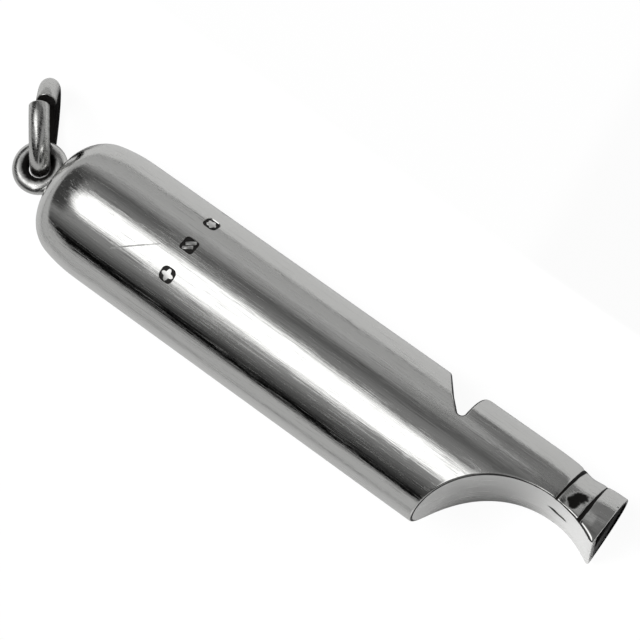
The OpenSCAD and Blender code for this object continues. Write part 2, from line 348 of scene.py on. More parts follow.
# The skin, unrolled. Its mesh is finer near the mouth, where the groove is turned.
COARSE_STEP = 1.0
FINE_STEP = 0.1
FINE_LEN = 8.0
joint_arc = np.arange(-math.pi, math.pi + 1e-6, SILVER_STEP) * BARREL_R
joint_arc[-1] = math.pi * BARREL_R
side_run = np.arange(DOME_LEN + COARSE_STEP, sole_loop[0, 0] - 0.3, COARSE_STEP)
outline = np.concatenate([
    np.stack([np.full(len(joint_arc), DOME_LEN), joint_arc], -1),
    np.stack([side_run, np.full(len(side_run), math.pi * BARREL_R)], -1),
    sole_loop,
    np.stack([side_run[::-1], np.full(len(side_run), -math.pi * BARREL_R)], -1)])
stations = np.concatenate([
    np.arange(DOME_LEN + COARSE_STEP, BODY_LEN - FINE_LEN, COARSE_STEP),
    np.arange(BODY_LEN - FINE_LEN, BODY_LEN, FINE_STEP)])
grid = np.array([(x, a) for x in stations for a in joint_arc[1:-1]])

# Three small marks punched in a row across the side, each a sunk cartouche with a plain motif
MARK_X = 17.2
MARK_LEN = 1.6
MARK_W = 1.6
MARK_DEPTH = 0.12
MOTIF_DEPTH = 0.03
MOTIF_ROUND = (0.2, 0.45, 0.08)  # how much the top of each mark's motif is rounded
MARK_PITCH = 3.65
MARK_MIDDLE = math.radians(79) * BARREL_R


def smooth_loop(corners, soft, steps=4):
    """A closed outline with its corners cut round."""
    corners = np.array(corners, float)
    made = []
    for before, here, after in zip(np.roll(corners, 1, 0), corners, np.roll(corners, -1, 0)):
        a = here + min(soft, np.linalg.norm(before - here) * 0.49) * unit(before - here)
        b = here + min(soft, np.linalg.norm(after - here) * 0.49) * unit(after - here)
        for t in np.linspace(0, 1, steps):
            made.append((1 - t) ** 2 * a + 2 * t * (1 - t) * here + t ** 2 * b)
    return np.array(made)


def cut_corners(cut):
    """The outline of a mark with its corners cut off."""
    x, y = MARK_LEN / 2, MARK_W / 2
    return [(x, y - cut), (x - cut, y), (cut - x, y), (-x, y - cut),
            (-x, cut - y), (cut - x, -y), (x - cut, -y), (x, cut - y)]


def lobed(radius, lobes, wave):
    """A round figure with soft lobes."""
    turn = np.linspace(0, 2 * math.pi, 49)[:-1]
    r = radius * (1 + wave * np.cos(lobes * turn))
    return np.stack([r * np.cos(turn), r * np.sin(turn)], -1)


def bar(middle, length, width, lean):
    """A slanting bar with rounded ends."""
    run = np.array([math.cos(lean), math.sin(lean)]) * length / 2
    side = np.array([-math.sin(lean), math.cos(lean)]) * width / 2
    return smooth_loop([middle + run + side, middle - run + side, middle - run - side,
                        middle + run - side], width / 3)


ring_motif = lobed(0.46, 5, 0.16)
bar_motifs = [bar(np.array([0, side * 0.28]), 1.1, 0.32, math.radians(-38)) for side in (-1, 1)]
cross_motif = lobed(0.5, 4, 0.3)
marks = []
for number, (outline_of_mark, soft, motifs) in enumerate((
        (cut_corners(0.3), 0.2, [ring_motif]),
        (cut_corners(0.2), 0.16, bar_motifs),
        (cut_corners(0.32), 0.25, [cross_motif]))):
    middle = np.array([MARK_X, MARK_MIDDLE + (number - 1) * MARK_PITCH])
    marks.append((middle + smooth_loop(outline_of_mark, soft), [middle + m for m in motifs]))

flat, faces = fill(outline, [window_loop] + [m[0] for m in marks], grid, gap=0.06)
skin_place, skin_normal = on_skin(flat[:, 0], flat[:, 1])
middles = skin_place[faces].mean(axis=1)
on_plate = ((middles[:, 0] > sole_edge[0, 0])
            & (middles[:, 2] < sole_height(middles[:, 0], SOLE_R + PLATE_T)))
barrel_patches = [(skin_place, skin_normal, faces[~on_plate].tolist(), POLISHED)]
barrel_patches += window_patches
plate_skin = (skin_place, skin_normal, faces[on_plate].tolist(), POLISHED)


def below_skin(points, depth):
    """Places under the barrel's skin, and the skin's normals there."""
    place, normal = on_skin(points[:, 0], points[:, 1])
    return place - depth * normal, normal


def sunk_wall(loop, top, bottom, outwards):
    """The small upright wall round a punched outline, which faces outwards (1) or inwards (-1)."""
    high, normal = below_skin(loop, top)
    low, _ = below_skin(loop, bottom)
    along = np.roll(high, -1, axis=0) - np.roll(high, 1, axis=0)
    side = unit(np.cross(along, normal))
    middle = high.mean(axis=0)
    side *= np.sign(np.sum(side * (high - middle), axis=1, keepdims=True)) * outwards
    lean = unit(side + 0.6 * normal)
    return strip(np.stack([high, low], 1), np.stack([lean, lean], 1), True, RELIEF)


mark_steps = np.arange(-1, 1, 0.2)
mark_grid = np.array([(x, a) for x in mark_steps for a in mark_steps])
for (cartouche, motifs), rounded in zip(marks, MOTIF_ROUND):
    floor_flat, floor_faces = fill(
        cartouche, motifs, mark_grid + cartouche.mean(axis=0), gap=0.05)
    place, normal = below_skin(floor_flat, MARK_DEPTH)
    barrel_patches.append((place, normal, floor_faces.tolist(), TARNISH_AND_SHADE))
    barrel_patches.append(sunk_wall(cartouche, 0, MARK_DEPTH, -1))
    for motif in motifs:
        top_flat, top_faces = fill(motif, [], motif.mean(axis=0)[None], gap=0.02)
        place, normal = below_skin(top_flat, MOTIF_DEPTH)
        # the punch leaves the top of the motif a little rounded
        normal = unit(normal + rounded * unit(place - place.mean(axis=0)))
        barrel_patches.append((place, normal, top_faces.tolist(), RELIEF))
        barrel_patches.append(sunk_wall(motif, MOTIF_DEPTH, MARK_DEPTH, 1))

# The bore's wall, unrolled, cut by the window and by the plate's upper face
bore_view = window_view[window_view[:, 1] < BORE_R - 0.005]
bore_arc = BORE_R * np.arccos(bore_view[:, 1] / BORE_R)
bore_window = np.concatenate([
    np.stack([bore_view[:, 0], bore_arc], -1),
    np.stack([bore_view[::-1, 0], -bore_arc[::-1]], -1)])
plate_start = SOLE_X - math.sqrt((SOLE_R + PLATE_T) ** 2 - (-BORE_R - SOLE_Z) ** 2)
plate_x = plate_start + (BODY_LEN - plate_start) * np.linspace(0, 1, 90) ** 1.5
plate_z = sole_height(plate_x, SOLE_R + PLATE_T)
plate_arc = BORE_R * np.arccos(np.clip(plate_z / bore_radius(plate_x), -1, 1))
bore_joint = np.linspace(-math.pi, math.pi, 91) * BORE_R
bore_outline = np.concatenate([
    np.stack([np.full(len(bore_joint), DOME_LEN), bore_joint], -1),
    np.stack([plate_x, plate_arc], -1),
    np.stack([plate_x[::-1], -plate_arc[::-1]], -1)])
bore_stations = np.concatenate([np.arange(DOME_LEN + 2, BODY_LEN - 2, 2.0),
                                np.arange(BODY_LEN - RIM_FLARE, BODY_LEN, 0.2)])
bore_grid = np.array([(x, a) for x in bore_stations for a in bore_joint[1:-1]])
flat, faces = fill(bore_outline, [bore_window], bore_grid, gap=0.1)
turn = flat[:, 1] / BORE_R
way = np.stack([0 * turn, np.sin(turn), np.cos(turn)], -1)
place = bore_radius(flat[:, 0])[:, None] * way
place[:, 0] = flat[:, 0]
barrel_patches.append((place, -way, faces.tolist(), TARNISH_AND_SHADE))

# The mouth's flat end, seen end on as across and up: the tube's half ring above the plate's end
end_loop = sole_end[edge_turn[:, 0] > 0.999][:, 1:]
end_top = float(plate_z[-1])
opening_r = float(bore_radius(BODY_LEN))
opening_from = math.asin(end_top / opening_r)
opening = opening_r * np.array([(math.cos(a), math.sin(a)) for a in
                                np.linspace(opening_from, math.pi - opening_from, 60)])
flat, faces = fill(end_loop, [opening], np.zeros((1, 2)), gap=0.05)
place = np.column_stack([np.full(len(flat), BODY_LEN), flat])
normal = np.tile([1.0, 0, 0], (len(flat), 1))
low = place[faces].mean(axis=1)[:, 2] < end_top
barrel_patches.append((place, normal, faces[~low].tolist(), POLISHED))
plate_end = (place, normal, faces[low].tolist(), POLISHED)
# The rounded rim belongs to the tube, and the softened edge beside the hollow to the plate.
side = len(side_x) + len(corner_x)
rim = slice(side - 1, len(edge_x) - side + 1)
barrel_patches.append(strip(rim_rows[rim], rim_normals[rim]))


def linear(hex_colour):
    """An sRGB hex colour as the linear values that Blender's sockets take."""
    parts = [int(hex_colour[i:i + 2], 16) / 255 for i in (1, 3, 5)]
    return tuple(c / 12.92 if c <= 0.04045 else ((c + 0.055) / 1.055) ** 2.4
                 for c in parts) + (1.0,)


def add(tree, kind, inputs=None, **settings):
    """Adds one node with its settings, and sets or links its inputs."""
    made = tree.nodes.new(kind)
    for name, value in settings.items():
        setattr(made, name, value)
    for name, value in (inputs or {}).items():
        if isinstance(value, bpy.types.NodeSocket):
            tree.links.new(value, made.inputs[name])
        else:
            made.inputs[name].default_value = value
    return made


def calc(tree, operation, first, second=0.0, third=0.0):
    """One sum on numbers."""
    return add(tree, "ShaderNodeMath", {0: first, 1: second, 2: third},
               operation=operation).outputs[0]


def calc_vector(tree, operation, first, second=(0, 0, 0)):
    """One sum on vectors, which gives a vector or a number."""
    made = add(tree, "ShaderNodeVectorMath", {0: first, 1: second}, operation=operation)
    number = operation in ("DOT_PRODUCT", "DISTANCE", "LENGTH")
    return made.outputs["Value" if number else "Vector"]


def blend(tree, factor, below, above):
    """One colour at 0 and the other at 1."""
    return add(tree, "ShaderNodeMix", {0: factor, 6: below, 7: above}, data_type="RGBA").outputs[2]


def smooth_step(tree, value, low, high):
    """0 at the first value and 1 at the second, with soft ends."""
    return add(tree, "ShaderNodeMapRange", {
        "Value": value, "From Min": low, "From Max": high}, interpolation_type="SMOOTHSTEP"
    ).outputs["Result"]


def drawn_place(tree):
    """The place on a piece as it is drawn: along, across and up, in millimetres."""
    where = add(tree, "ShaderNodeTexCoord").outputs["Object"]
    off = calc_vector(tree, "SUBTRACT", where, crown)
    parts = [calc_vector(tree, "DOT_PRODUCT", off, as_laid.to_3x3().col[i] * 1e6)
             for i in range(3)]
    return add(tree, "ShaderNodeCombineXYZ", {i: parts[i] for i in range(3)}).outputs[0], parts


def near_line(tree, place, start, end, width):
    """1 on a short line between two places on the piece, and 0 beyond its width."""
    start, run = Vector(start), Vector(end) - Vector(start)
    off = calc_vector(tree, "SUBTRACT", place, start)
    share = calc_vector(tree, "DOT_PRODUCT", off, run / run.length_squared)
    share = calc(tree, "MINIMUM", calc(tree, "MAXIMUM", share, 0.0), 1.0)
    nearest = add(tree, "ShaderNodeVectorMath", {0: run, "Scale": share},
                  operation="SCALE").outputs[0]
    gap = calc_vector(tree, "DISTANCE", off, nearest)
    return smooth_step(tree, gap, width * 0.7, width * 0.3)


# Real rubbing lines are some 0.02 mm apart, and these are as fine as shows. Hand buffing adds a
# slow unevenness. Each has a length along the whistle and a gap across it, in millimetres.
RUB_LEN, RUB_GAP = 7.0, 0.2
WANDER_LEN, WANDER_GAP = 12.0, 2.5


def silver(name, colour, roughness, scratched, line_depth, wander_depth, climb=RUB_GAP):
    """Sterling silver, drawn or pressed and then buffed. It mirrors its surroundings, and fine
    rubbing lines along the whistle drag the bright reflections out into streaks. Climb is how far
    a line reaches upwards, in millimetres."""
    made = bpy.data.materials.new(name)
    made.use_nodes = True
    tree = made.node_tree
    surface = tree.nodes["Principled BSDF"]
    surface.inputs["Metallic"].default_value = 1.0
    place = drawn_place(tree)[0]
    lines_at = add(tree, "ShaderNodeMapping", {
        "Vector": place, "Scale": (1 / RUB_LEN, 1 / RUB_GAP, 1 / climb)})
    lines = add(tree, "ShaderNodeTexNoise", {
        "Vector": lines_at.outputs["Vector"], "Scale": 1.0, "Detail": 3.0, "Roughness": 0.8,
        "Distortion": 0.3})
    wander_at = add(tree, "ShaderNodeMapping", {
        "Vector": place, "Scale": (1 / WANDER_LEN, 1 / WANDER_GAP, 1 / WANDER_GAP)})
    wander = add(tree, "ShaderNodeTexNoise", {
        "Vector": wander_at.outputs["Vector"], "Scale": 1.0, "Detail": 2.0})
    uneven = calc(tree, "MULTIPLY_ADD", wander.outputs["Fac"], 0.5, lines.outputs["Fac"])
    rough = add(tree, "ShaderNodeMapRange", {
        "Value": uneven, "From Min": 0.72, "From Max": 1.0,
        "To Min": roughness, "To Max": scratched})
    tree.links.new(rough.outputs["Result"], surface.inputs["Roughness"])
    # The deepest lines hold a little dirt.
    dirt = smooth_step(tree, lines.outputs["Fac"], 0.42, 0.3)
    tone = blend(tree, calc(tree, "MULTIPLY", dirt, 0.35), linear(colour), linear("#5A5957"))
    tree.links.new(tone, surface.inputs["Base Color"])
    slow = add(tree, "ShaderNodeBump", {
        "Height": wander.outputs["Fac"], "Distance": wander_depth, "Strength": 1.0})
    fine = add(tree, "ShaderNodeBump", {
        "Height": lines.outputs["Fac"], "Distance": line_depth, "Strength": 1.0,
        "Normal": slow.outputs["Normal"]})
    tree.links.new(fine.outputs["Normal"], surface.inputs["Normal"])
    return made


def blacken(material, mask, sulphide_and_shade_black="#141312"):
    """Lays black where the mask is 1: silver sulphide, which polishing hasn't reached, and on the
    sole's hollow and the ring painted shade.
    """
    tree = material.node_tree
    surface = tree.nodes["Principled BSDF"]
    base = surface.inputs["Base Color"].links[0].from_socket
    tree.links.new(blend(tree, mask, base, linear(sulphide_and_shade_black)), surface.inputs["Base Color"])
    was = surface.inputs["Roughness"].links[0].from_socket
    rough = add(tree, "ShaderNodeMix", {0: mask, 2: was, 3: 0.6})
    tree.links.new(rough.outputs[0], surface.inputs["Roughness"])
    bare = calc(tree, "SUBTRACT", 1.0, mask)  # sulphide isn't a mirror, even along its surface
    tree.links.new(bare, surface.inputs["Metallic"])
    surface.inputs["Specular IOR Level"].default_value = 0.1


# A stain between the turned lines, as the middles and radii of two round spots
STAINS = (((61.95, 5.55, 3.45), 0.85), ((61.65, 5.9, 2.8), 0.8))


def line_tarnish(tree):
    """1 in the two turned lines, which hold tarnish, and in a patch between them, where the lip
    doesn't rub."""
    place, (along_barrel, across, height) = drawn_place(tree)
    grime = add(tree, "ShaderNodeTexNoise", {"Vector": place, "Scale": 1.4, "Detail": 4.0})
    mask = 0.0
    for line, tilt, low, high in TURNED_LINES:
        off = calc(tree, "MULTIPLY_ADD", height, -tilt, calc(tree, "SUBTRACT", along_barrel, line))
        half = add(tree, "ShaderNodeMapRange", {
            "Value": height, "From Min": 3.0, "From Max": 6.3, "To Min": low, "To Max": high})
        off = calc(tree, "SUBTRACT", calc(tree, "ABSOLUTE", off), half.outputs["Result"])
        off = calc(tree, "MULTIPLY_ADD", grime.outputs["Fac"], 0.1, off)
        mask = calc(tree, "MAXIMUM", mask, smooth_step(tree, off, 0.08, 0.02))
    for middle, radius in STAINS:
        spot = calc_vector(tree, "DISTANCE", place, middle)
        spot = calc(tree, "MULTIPLY_ADD", grime.outputs["Fac"], 1.2, spot)
        mask = calc(tree, "MAXIMUM", mask, smooth_step(tree, spot, radius + 0.85, radius + 0.35))
    # not down in the hollow of the sole
    radius = calc(tree, "SQRT", calc(tree, "MULTIPLY_ADD", height, height,
                                     calc(tree, "MULTIPLY", across, across)))
    return calc(tree, "MULTIPLY", mask, smooth_step(tree, radius, 6.25, 6.35))


# Buffed along the barrel: bright, with its reflections dragged out lengthwise
barrel_silver = silver("sterling silver, buffed lengthwise", "#ECECEA", 0.06, 0.42, 1e-5, 9e-6)
tree = barrel_silver.node_tree
place = drawn_place(tree)[0]
mask = line_tarnish(tree)
# A nick on the window's side, a pit near the mouth, and a fainter scratch that runs down the side:
# where each starts and ends, its width, and how black it is
SCRATCHES = (((16.48, 2.23, 6.63), (17.83, 1.6, 6.81), 0.2, 1.0),
             ((65.1, 4.72, 4.96), (65.2, 4.7, 4.94), 0.12, 1.0),
             ((10.91, 6.18, -3.29), (12.38, 6.66, -2.16), 0.14, 0.7),
             ((12.38, 6.66, -2.16), (13.6, 6.89, -1.22), 0.14, 0.6),
             ((13.6, 6.89, -1.22), (14.84, 7.0, -0.24), 0.12, 0.45))
for start, end, width, black in SCRATCHES:
    nick = calc(tree, "MULTIPLY", near_line(tree, place, start, end, width), black)
    mask = calc(tree, "MAXIMUM", mask, nick)
blacken(barrel_silver, mask)
# The punch leaves the marks' relief and walls with a fine grain; their lighter colour is a painted
# highlight for the motifs' bright strokes.
mark_silver = silver("sterling silver, punched relief", "#F6F6F4", 0.3, 0.4, 2e-6, 2e-6)

# Silver sulphide tarnish in the sunk ground of the marks, on filed edges and all over the bore,
# where polishing doesn't reach: nearly black. On the ring's cut ends it is painted shade, and on
# the window's walls and edges partly a painted dark reflection.
tarnish = bpy.data.materials.new("silver sulphide tarnish and painted shade")
tarnish.use_nodes = True
tree = tarnish.node_tree
surface = tree.nodes["Principled BSDF"]
surface.inputs["Specular IOR Level"].default_value = 0.25
surface.inputs["Roughness"].default_value = 0.5
grime = add(tree, "ShaderNodeTexNoise", {
    "Vector": drawn_place(tree)[0], "Scale": 3.0, "Detail": 3.0})
tone = blend(tree, grime.outputs["Fac"], linear("#0B0A0A"), linear("#222120"))
tree.links.new(tone, surface.inputs["Base Color"])

make_piece("barrel_tube", barrel_patches, [barrel_silver, tarnish, mark_silver],
           "whistle", ["barrel"])


# THE DOMED END
# A cap pressed from sterling silver sheet, pushed into the tube on a short spigot, soldered, and
# dressed flush so that no joint shows. It is buffed with the barrel and has the same finish.

SHOULDER_R = 17.0
SHOULDER_TURN = math.radians(13)
KNUCKLE_R = 4.0
CROWN_TURN = math.radians(67)
DOME_WALL = 0.7
SPIGOT_WALL = 0.5
SPIGOT_LEN = 1.2

knuckle_at = np.array([
    DOME_LEN - (SHOULDER_R - KNUCKLE_R) * math.sin(SHOULDER_TURN),
    BARREL_R - SHOULDER_R + (SHOULDER_R - KNUCKLE_R) * math.cos(SHOULDER_TURN)])
CROWN_R = KNUCKLE_R + knuckle_at[1] / math.cos(CROWN_TURN)


def dome_line(inset):
    """Distance along and radius, from the crown to the joint, with the way the metal faces."""
    made = []
    for centre, radius, start, end, steps in (
            ((CROWN_R, 0), CROWN_R, math.pi / 2, CROWN_TURN, 24),
            (knuckle_at, KNUCKLE_R, CROWN_TURN, SHOULDER_TURN, 40),
            ((DOME_LEN, BARREL_R - SHOULDER_R), SHOULDER_R, SHOULDER_TURN, 0, 12)):
        for a in np.linspace(start, end, steps)[0 if not made else 1:]:
            way = (-math.sin(a), math.cos(a))
            made.append([centre[0] + (radius - inset) * way[0],
                         centre[1] + (radius - inset) * way[1], way[0], way[1]])
    return np.array(made)


def lathe(line, count):
    """A patch turned round the barrel's middle line."""
    turn = np.linspace(0, 2 * math.pi, count + 1)[:-1]
    place = np.stack([np.repeat(line[:, 0][None], count, 0),
                      np.outer(np.sin(turn), line[:, 1]), np.outer(np.cos(turn), line[:, 1])], -1)
    facing = np.stack([np.repeat(line[:, 2][None], count, 0),
                       np.outer(np.sin(turn), line[:, 3]), np.outer(np.cos(turn), line[:, 3])], -1)
    return strip(place, facing, True)


outer = dome_line(0)
inner = dome_line(DOME_WALL)
inner[:, 2:] *= -1
spigot = np.array([
    [DOME_LEN - SPIGOT_WALL, BORE_R - SPIGOT_WALL, 0, -1],
    [DOME_LEN + SPIGOT_LEN, BORE_R - SPIGOT_WALL, 0, -1]])
spigot_end = np.array([
    [DOME_LEN + SPIGOT_LEN, BORE_R - SPIGOT_WALL, 1, 0],
    [DOME_LEN + SPIGOT_LEN, BORE_R, 1, 0]])
dome_patches = [lathe(outer, 180)] + [
    lathe(line, 120)[:3] + (TARNISH_AND_SHADE,) for line in (inner, spigot, spigot_end)]
make_piece("domed_end", dome_patches, [barrel_silver, tarnish], "whistle", ["end_dome"])


# THE SOLE PLATE
# A piece of silver sheet bent to a curve and soldered across the cutaway. Its hollow underside is
# where the lower lip sits, so it is worn smooth, and its edges are dressed flush with the tube.

SOLE_BRIGHT_ROWS = 4  # rows of the softened edge that stay bright
plate_patches = [plate_skin, plate_end]
for part in (slice(0, side), slice(-side, None)):
    rows, facings = rim_rows[part], rim_normals[part]
    plate_patches.append(strip(rows[:, :SOLE_BRIGHT_ROWS + 1], facings[:, :SOLE_BRIGHT_ROWS + 1]))
    # the inner rows of the softened edge beside the hollow are drawn black
    plate_patches.append(
        strip(rows[:, SOLE_BRIGHT_ROWS:], facings[:, SOLE_BRIGHT_ROWS:], number=TARNISH_AND_SHADE))
# The hollow, in rows from the near edge to the far one, as far as its rounded end at the mouth
hollow_rows = [near_point + np.linspace(0, 1, 17)[:, None] * (far_point - near_point)
               for near_point, far_point in zip(sole_end[:side + 1], sole_end[::-1])]
hollow_normals = [np.tile(way, (17, 1)) for way in sole_wall[:side + 1]]
plate_patches.append(strip(hollow_rows, hollow_normals))
# The upper face, inside the mouth
top_half = np.sqrt(np.maximum(bore_radius(plate_x) ** 2 - plate_z ** 2, 0))
top_rows = [[(x, y * half, z) for y in np.linspace(-1, 1, 9)]
            for x, half, z in zip(plate_x[2:], top_half[2:], plate_z[2:])]
top_normals = [np.tile(unit(np.array([x - SOLE_X, 0, z - SOLE_Z])), (9, 1))
               for x, z in zip(plate_x[2:], plate_z[2:])]
plate_patches.append(strip(top_rows, top_normals, number=TARNISH_AND_SHADE))

# The lip has worn the hollow smooth, so it mirrors softly, with lines that follow its curve.
sole_silver = silver(
    "sterling silver, worn smooth by the lip", "#E8E8E6", 0.12, 0.4, 3e-6, 9e-6, RUB_LEN)
tree = sole_silver.node_tree
# A short crack in the solder, filled with tarnish
CRACK = ((59.9, 0.45, 1.9), (60.5, -0.15, 1.88)), ((60.6, -0.15, 1.87), (61.2, -0.05, 1.8))
CRACK_W = 0.9
place, (along_barrel, across, _) = drawn_place(tree)
mask = line_tarnish(tree)
for start, end in CRACK:
    mask = calc(tree, "MAXIMUM", mask, near_line(tree, place, start, end, CRACK_W))
# The hollow's far side is painted darker towards the cut: painted shade for the table's shadow
# near where the whistle rests, which the hollow mirrors.
far = calc(tree, "MULTIPLY", smooth_step(tree, across, -2.0, -6.8),
           smooth_step(tree, along_barrel, 60.5, 55.0))
mask = calc(tree, "MAXIMUM", mask, calc(tree, "MULTIPLY", far, 0.5))
blacken(sole_silver, mask)
make_piece("sole_plate_piece", plate_patches, [sole_silver, tarnish], "whistle",
           ["sole_plate"])


# THE WINDWAY BLOCK
# A solid piece of silver soldered inside the mouthpiece. Its flat top makes the windway. It is
# hardly seen, through the window and the mouth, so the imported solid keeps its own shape.

block = frame["nodes"]["windway_block"]
# Filed and never polished: a dull grey with hardly a reflection
block_silver = silver("sterling silver, filed flat and left dull", "#C9C8C4", 0.3, 0.5, 4e-6, 6e-6)
block.data.materials.clear()
block.data.materials.append(block_silver)


# THE EYE
# A ring of round silver wire, let into the crown of the domed end and soldered there. The solder
# has run into a small smooth fillet round its foot. Inside the hole it is black with tarnish.

EYE_WIRE_R = 0.87
EYE_R = 2.02
SOLDER_R = 0.75
EYE_SEAT = 0.5
EYE_STEPS = 96


def ring_tube(centres, directions, ups, radius, count, closed):
    """Round wire along a line of centres. Ups are square to the directions."""
    turn = np.linspace(0, 2 * math.pi, count + 1)
    sides = np.cross(directions, ups)
    ways = (np.cos(turn)[None, :, None] * ups[:, None]
            + np.sin(turn)[None, :, None] * sides[:, None])
    return strip(centres[:, None] + radius * ways, ways, closed)


def inner_side(tree, middle, axle, unblackened, black):
    """1 inside the black radius of a ring of wire, and 0 outside the unblackened one. The black is
    tarnish, and on the split ring also painted shade.
    """
    place = drawn_place(tree)[0]
    off = calc_vector(tree, "SUBTRACT", place, tuple(middle))
    radius = calc_vector(tree, "LENGTH", calc_vector(tree, "CROSS_PRODUCT", off, tuple(axle)))
    speck = add(tree, "ShaderNodeTexNoise", {"Vector": place, "Scale": 2.8, "Detail": 4.0})
    radius = calc(tree, "MULTIPLY_ADD", speck.outputs["Fac"], 0.5, radius)
    return smooth_step(tree, radius, unblackened + 0.25, black + 0.25)


around = np.linspace(0, 2 * math.pi, EYE_STEPS + 1)[:-1]
spokes = np.stack([np.cos(around), 0 * around, np.sin(around)], -1)
tangents = np.stack([-np.sin(around), 0 * around, np.cos(around)], -1)
eye_ring = ring_tube(np.array([EYE_X, 0, 0]) + EYE_R * spokes, tangents, spokes,
                     EYE_WIRE_R, 48, True)
neck_r = math.sqrt(EYE_WIRE_R ** 2 - (EYE_WIRE_R - EYE_SEAT) ** 2)
fillet = []
for a in np.linspace(0, math.pi / 2, 16):
    # a concave quarter circle from the eye's side down to the crown
    fillet.append([-SOLDER_R + SOLDER_R * math.sin(a), neck_r + SOLDER_R * (1 - math.cos(a)),
                   -math.sin(a), math.cos(a)])
fillet = np.array(fillet)
fillet[:, 0] += CROWN_R - np.sqrt(CROWN_R ** 2 - fillet[:, 1] ** 2) + 0.02
# Wire drawn through a plate and polished: tight bright and dark bands round it
eye_silver = silver("sterling silver wire, drawn and polished", "#ECECEA", 0.1, 0.4, 3e-6, 5e-6)
blacken(eye_silver, inner_side(eye_silver.node_tree, (EYE_X, 0, 0), (0, 1, 0),
                               EYE_R + 0.3, EYE_R - 0.4))
make_piece("eye_ring", [eye_ring, lathe(fillet, EYE_STEPS)], [eye_silver], "whistle", ["eye"])


# THE JUMP RING
# Heavy silver wire bent round into a ring and put through the eye. It has been sprung open
# sideways a little, so its two cut ends stand beside each other. It swings in the eye.

RING_WIRE_R = 1.05
RING_R = 4.2
RING_GAP = 0.55
RING_GAP_TURN = math.radians(72)
RING_SPREAD = math.radians(7)
RING_LEAN = math.radians(10)
RING_RISE = math.radians(55)
CUT_SOFT = 0.12
WIRE_STEPS = 56  # points round the wire

ring_out = np.array([-math.cos(RING_RISE), 0, math.sin(RING_RISE)])
ring_side = np.array([math.sin(RING_RISE), 0, math.cos(RING_RISE)])
ring_through = math.cos(RING_LEAN) * np.array([0, 1, 0]) + math.sin(RING_LEAN) * ring_side
ring_normal = np.cross(ring_through, ring_out)
half_gap = RING_GAP / RING_R / 2


def ring_arm(start, end, lean):
    """One arm of the ring, from the eye to a cut end with a slightly softened edge."""
    out = math.cos(lean) * ring_out - math.sin(lean) * ring_normal
    turn = np.linspace(start, end, 90)
    centres = (np.array([EYE_X, 0, 0]) + RING_R * (1 + np.cos(turn))[:, None] * out
               + RING_R * np.sin(turn)[:, None] * ring_through)
    forward = np.sign(end - start) * (
        -np.sin(turn)[:, None] * out + np.cos(turn)[:, None] * ring_through)
    spokes = np.cos(turn)[:, None] * out + np.sin(turn)[:, None] * ring_through
    body = ring_tube(centres, forward, spokes, RING_WIRE_R, WIRE_STEPS, False)
    # the cut face: a softened edge, then the flat end
    around = np.linspace(0, 2 * math.pi, WIRE_STEPS + 1)
    ways = (np.cos(around)[:, None] * spokes[-1]
            + np.sin(around)[:, None] * np.cross(forward[-1], spokes[-1]))
    rows, facings = [], []
    for a in np.linspace(0, math.pi / 2, 5):
        reach = RING_WIRE_R - CUT_SOFT * (1 - math.cos(a))
        rows.append(centres[-1] + CUT_SOFT * math.sin(a) * forward[-1] + reach * ways)
        facings.append(math.cos(a) * ways + math.sin(a) * forward[-1])
    # the flat end takes the tarnish material: painted shade, as the cut face looks down, away from
    # the light
    face_rows = [rows[-1]] + [centres[-1] + CUT_SOFT * forward[-1] + reach * ways
                              for reach in (0.6, 0.0)]
    face_facings = np.tile(forward[-1], (3, len(ways), 1))
    return [body, strip(rows, facings), strip(face_rows, face_facings, number=TARNISH_AND_SHADE)]


short_arm = ring_arm(math.pi, RING_GAP_TURN + half_gap + CUT_SOFT / RING_R, RING_SPREAD / 2)
long_arm = ring_arm(-math.pi, RING_GAP_TURN - half_gap - CUT_SOFT / RING_R, -RING_SPREAD / 2)
# The wire rubs in the eye and in the pocket, so it is speckled and less bright.
ring_silver = silver("sterling silver wire, rubbed by the eye", "#E6E6E4", 0.14, 0.5, 5e-6, 9e-6)
# The inner side of the ring is blackened: tarnish, and painted shade for the shade inside the ring
# and between its strands.
ring_middle = np.array([EYE_X, 0, 0]) + RING_R * ring_out
blacken(ring_silver, inner_side(ring_silver.node_tree, ring_middle, ring_normal,
                                RING_R + 0.9, RING_R - 0.4))
make_piece("split_ring", short_arm + long_arm, [ring_silver, tarnish], "ring",
           ["jump_ring"])


# THE TABLE, THE LIGHT AND THE CAMERA
# A white card on a table, in a white tent with one long soft box over the whistle. The tent is
# grey on the window's side and dark between there and the soft box, which the silver mirrors.

# The camera, placed and turned as the photograph's outlines say, as the whistle is blown
CAMERA_AT = (78.13, 208.93, -30.63)
SIGHT = Vector((-0.2195, -0.9626, 0.1590))
PICTURE_TOP = Vector((-0.5641, 0.2582, 0.7843))
LENS = 123.53

camera = bpy.data.objects.new("camera", bpy.data.cameras.new("camera"))
bpy.context.scene.collection.objects.link(camera)
turned = as_laid.to_3x3() * 1000
sight, top = (turned @ SIGHT).normalized(), (turned @ PICTURE_TOP).normalized()
right = sight.cross(top).normalized()
top = right.cross(sight)
camera.matrix_world = Matrix.Translation(as_laid @ Vector(CAMERA_AT)) @ Matrix((
    right, top, -sight)).transposed().to_4x4()
camera.data.lens = LENS
camera.data.sensor_width = 36
camera.data.clip_start, camera.data.clip_end = 0.01, 10
bpy.context.scene.camera = camera
bpy.context.scene.view_settings.view_transform = "Standard"

